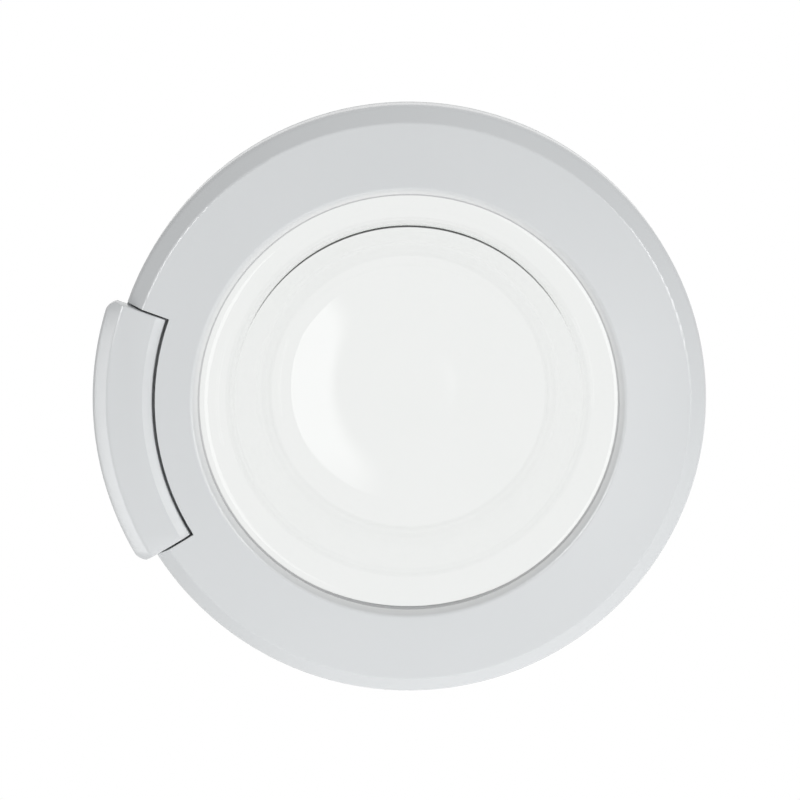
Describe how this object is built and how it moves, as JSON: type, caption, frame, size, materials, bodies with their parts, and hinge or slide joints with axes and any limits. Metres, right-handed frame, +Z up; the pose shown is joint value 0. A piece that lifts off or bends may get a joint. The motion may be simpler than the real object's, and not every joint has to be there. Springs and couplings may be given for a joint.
{
  "type": "washing machine door",
  "caption": "Round front-loader washing machine door: grey ring with a lever handle, clear glass bowl, sprung latch hook and a cast hinge that bolts to the cabinet.",
  "frame": {"origin": "on the door axis, in the plane of the rear face of the rear frame, where the bowl enters the seal", "axes": "+Y along the door axis into the machine, +Z up, +X to the hinge side"},
  "size_m": [0.443, 0.0845, 0.43],
  "materials": {
    "ring_grey": "satin gloss",
    "frame_grey": "satin",
    "clear_glass": "polished",
    "gasket_rubber": "matte",
    "plated_steel": "zinc plated",
    "plain_steel": "ground",
    "spring_steel": "drawn wire",
    "cast_zinc": "die cast",
    "bush_white": "moulded"
  },
  "bodies": {
    "hinge": {"hinge_bracket": "cast_zinc", "hinge_pin": "plain_steel", "pin_clips": "spring_steel"},
    "handle": {"handle_lever": "ring_grey", "handle_spring": "spring_steel"},
    "hook": {"latch_hook": "cast_zinc", "hook_spring": "spring_steel"},
    "door": {"outer_ring": "ring_grey", "rear_frame": "frame_grey", "handle_support": "frame_grey", "glass_bowl": "clear_glass", "glass_gasket": "gasket_rubber", "frame_screws": "plated_steel", "support_screws": "plated_steel", "block_screws": "plated_steel", "handle_pin": "plain_steel", "hook_pin": "plain_steel", "hinge_block": "cast_zinc", "bush_upper": "bush_white", "bush_lower": "bush_white"}
  },
  "joints": [
    {"name": "door_swing", "type": "hinge", "parent": "hinge", "child": "door", "pos_m": [0.196, -0.012, 0], "axis": [0, 0, 1], "range_deg": [0, 115]},
    {"name": "handle_pull", "type": "hinge", "parent": "door", "child": "handle", "pos_m": [-0.19113, -0.0375, -0.01925], "axis": [-0.1002, 0, 0.995], "range_deg": [0, 12], "stiffness_Nm_per_rad": 1.2, "springref_deg": -11.46},
    {"name": "hook_turn", "type": "hinge", "parent": "door", "child": "hook", "pos_m": [-0.1967, -0.01, -0.01981], "axis": [-0.1002, 0, 0.995], "range_deg": [-12, 0], "stiffness_Nm_per_rad": 0.4, "springref_deg": 11.46}
  ],
  "couplings": [
    {"joint": "hook_turn", "follows": "handle_pull", "ratio": -1}
  ]
}
